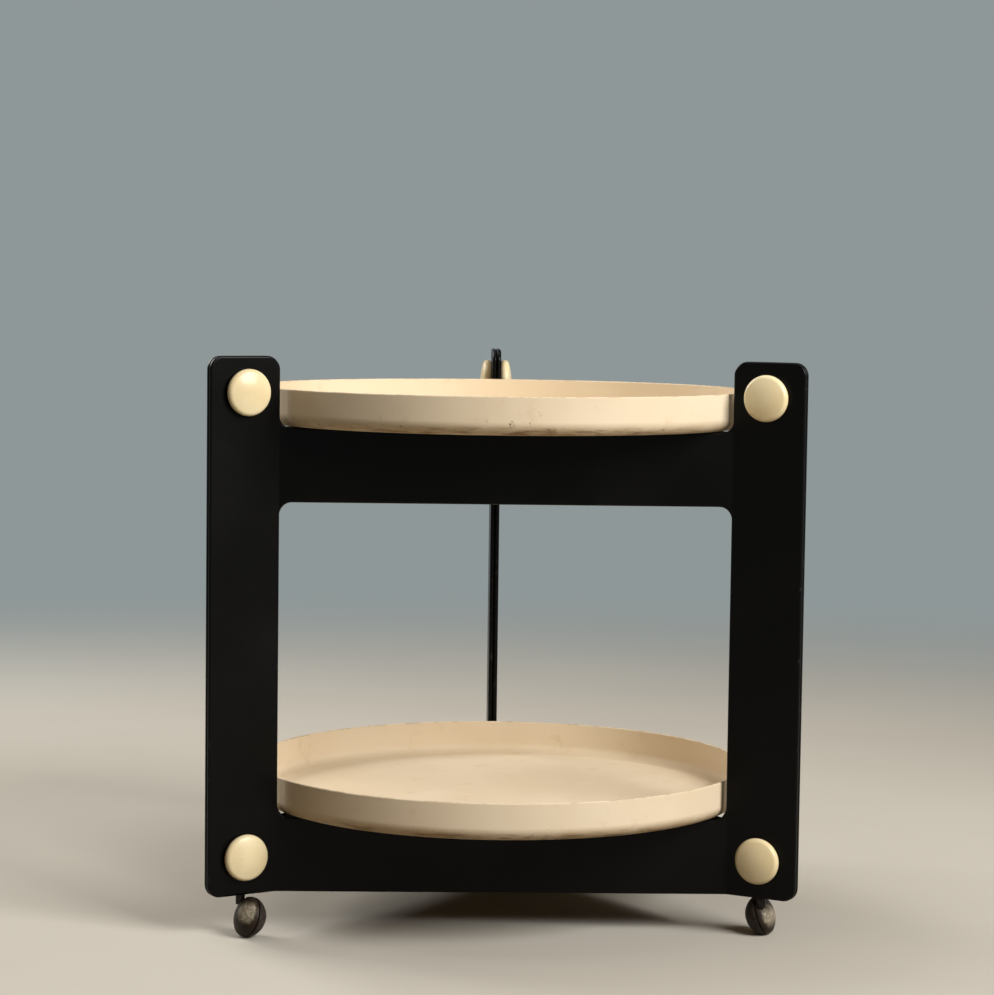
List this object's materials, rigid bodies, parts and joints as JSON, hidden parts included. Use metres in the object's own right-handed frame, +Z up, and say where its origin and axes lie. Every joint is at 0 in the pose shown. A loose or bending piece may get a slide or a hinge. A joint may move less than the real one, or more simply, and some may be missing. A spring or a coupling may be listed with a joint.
{
  "type": "round two-tier serving cart",
  "caption": "Low round serving cart: bent black panels clamped back to back as legs by ivory knobs, with loose cream trays on two levels, rolling on hooded ball casters.",
  "frame": {"origin": "on the floor, under the upright axis that the trays and the three legs share", "axes": "+Z up; the front panel faces -Y, and the back leg is on +Y"},
  "size_m": [0.5762, 0.5807, 0.563],
  "materials": {
    "black_lacquer": "gloss black lacquer over bent plywood",
    "cream_tray": "semi-gloss cream, scuffed along the foot",
    "ivory_knob": "polished ivory, yellowed",
    "steel": "zinc plated",
    "brass_insert": "turned",
    "dark_steel": "dark oxidised",
    "worn_hood_metal": "worn plating, brown patina",
    "dark_wheel": "satin dark brown",
    "rubber_tread": "worn matt"
  },
  "bodies": {
    "frame": {"front_panel": "black_lacquer", "right_panel": "black_lacquer", "left_panel": "black_lacquer", "back_upper_stud": "steel", "back_upper_knob_right": "ivory_knob", "back_upper_knob_left": "ivory_knob", "back_lower_stud": "steel", "back_lower_knob_right": "ivory_knob", "back_lower_knob_left": "ivory_knob", "back_knob_inserts": "brass_insert", "back_caster_socket": "steel", "front_left_upper_stud": "steel", "front_left_upper_knob_left": "ivory_knob", "front_left_upper_knob_front": "ivory_knob", "front_left_lower_stud": "steel", "front_left_lower_knob_left": "ivory_knob", "front_left_lower_knob_front": "ivory_knob", "front_left_knob_inserts": "brass_insert", "front_left_caster_socket": "steel", "front_right_upper_stud": "steel", "front_right_upper_knob_front": "ivory_knob", "front_right_upper_knob_right": "ivory_knob", "front_right_lower_stud": "steel", "front_right_lower_knob_front": "ivory_knob", "front_right_lower_knob_right": "ivory_knob", "front_right_knob_inserts": "brass_insert", "front_right_caster_socket": "steel"},
    "upper_tray": {"upper_tray": "cream_tray"},
    "lower_tray": {"lower_tray": "cream_tray"},
    "back_caster": {"back_caster_stem": "dark_steel", "back_caster_hood": "worn_hood_metal", "back_caster_axle": "steel"},
    "back_wheel": {"back_caster_wheel": "dark_wheel", "back_caster_tread": "rubber_tread"},
    "front_left_caster": {"front_left_caster_stem": "dark_steel", "front_left_caster_hood": "worn_hood_metal", "front_left_caster_axle": "steel"},
    "front_left_wheel": {"front_left_caster_wheel": "dark_wheel", "front_left_caster_tread": "rubber_tread"},
    "front_right_caster": {"front_right_caster_stem": "dark_steel", "front_right_caster_hood": "worn_hood_metal", "front_right_caster_axle": "steel"},
    "front_right_wheel": {"front_right_caster_wheel": "dark_wheel", "front_right_caster_tread": "rubber_tread"}
  },
  "joints": [
    {"name": "upper_tray_lift", "type": "slide", "parent": "frame", "child": "upper_tray", "axis": [0, 0, 1], "range_m": [0, 0.12]},
    {"name": "lower_tray_lift", "type": "slide", "parent": "frame", "child": "lower_tray", "axis": [0, 0, 1], "range_m": [0, 0.27]},
    {"name": "back_caster_swivel", "type": "hinge", "parent": "frame", "child": "back_caster", "pos_m": [0, 0.2938, 0.039], "axis": [0, 0, 1], "continuous": true},
    {"name": "back_wheel_roll", "type": "hinge", "parent": "back_caster", "child": "back_wheel", "pos_m": [-0.01377, 0.29059, 0.01931], "axis": [-0.0824, 0.9419, 0.3256], "continuous": true},
    {"name": "front_left_caster_swivel", "type": "hinge", "parent": "frame", "child": "front_left_caster", "pos_m": [-0.25444, -0.1469, 0.039], "axis": [0, 0, 1], "continuous": true},
    {"name": "front_left_wheel_roll", "type": "hinge", "parent": "front_left_caster", "child": "front_left_wheel", "pos_m": [-0.24551, -0.15787, 0.01931], "axis": [-0.8105, -0.487, 0.3256], "continuous": true},
    {"name": "front_right_caster_swivel", "type": "hinge", "parent": "frame", "child": "front_right_caster", "pos_m": [0.25444, -0.1469, 0.039], "axis": [0, 0, 1], "continuous": true},
    {"name": "front_right_wheel_roll", "type": "hinge", "parent": "front_right_caster", "child": "front_right_wheel", "pos_m": [0.25735, -0.13306, 0.01931], "axis": [0.8885, -0.3234, 0.3256], "continuous": true}
  ]
}
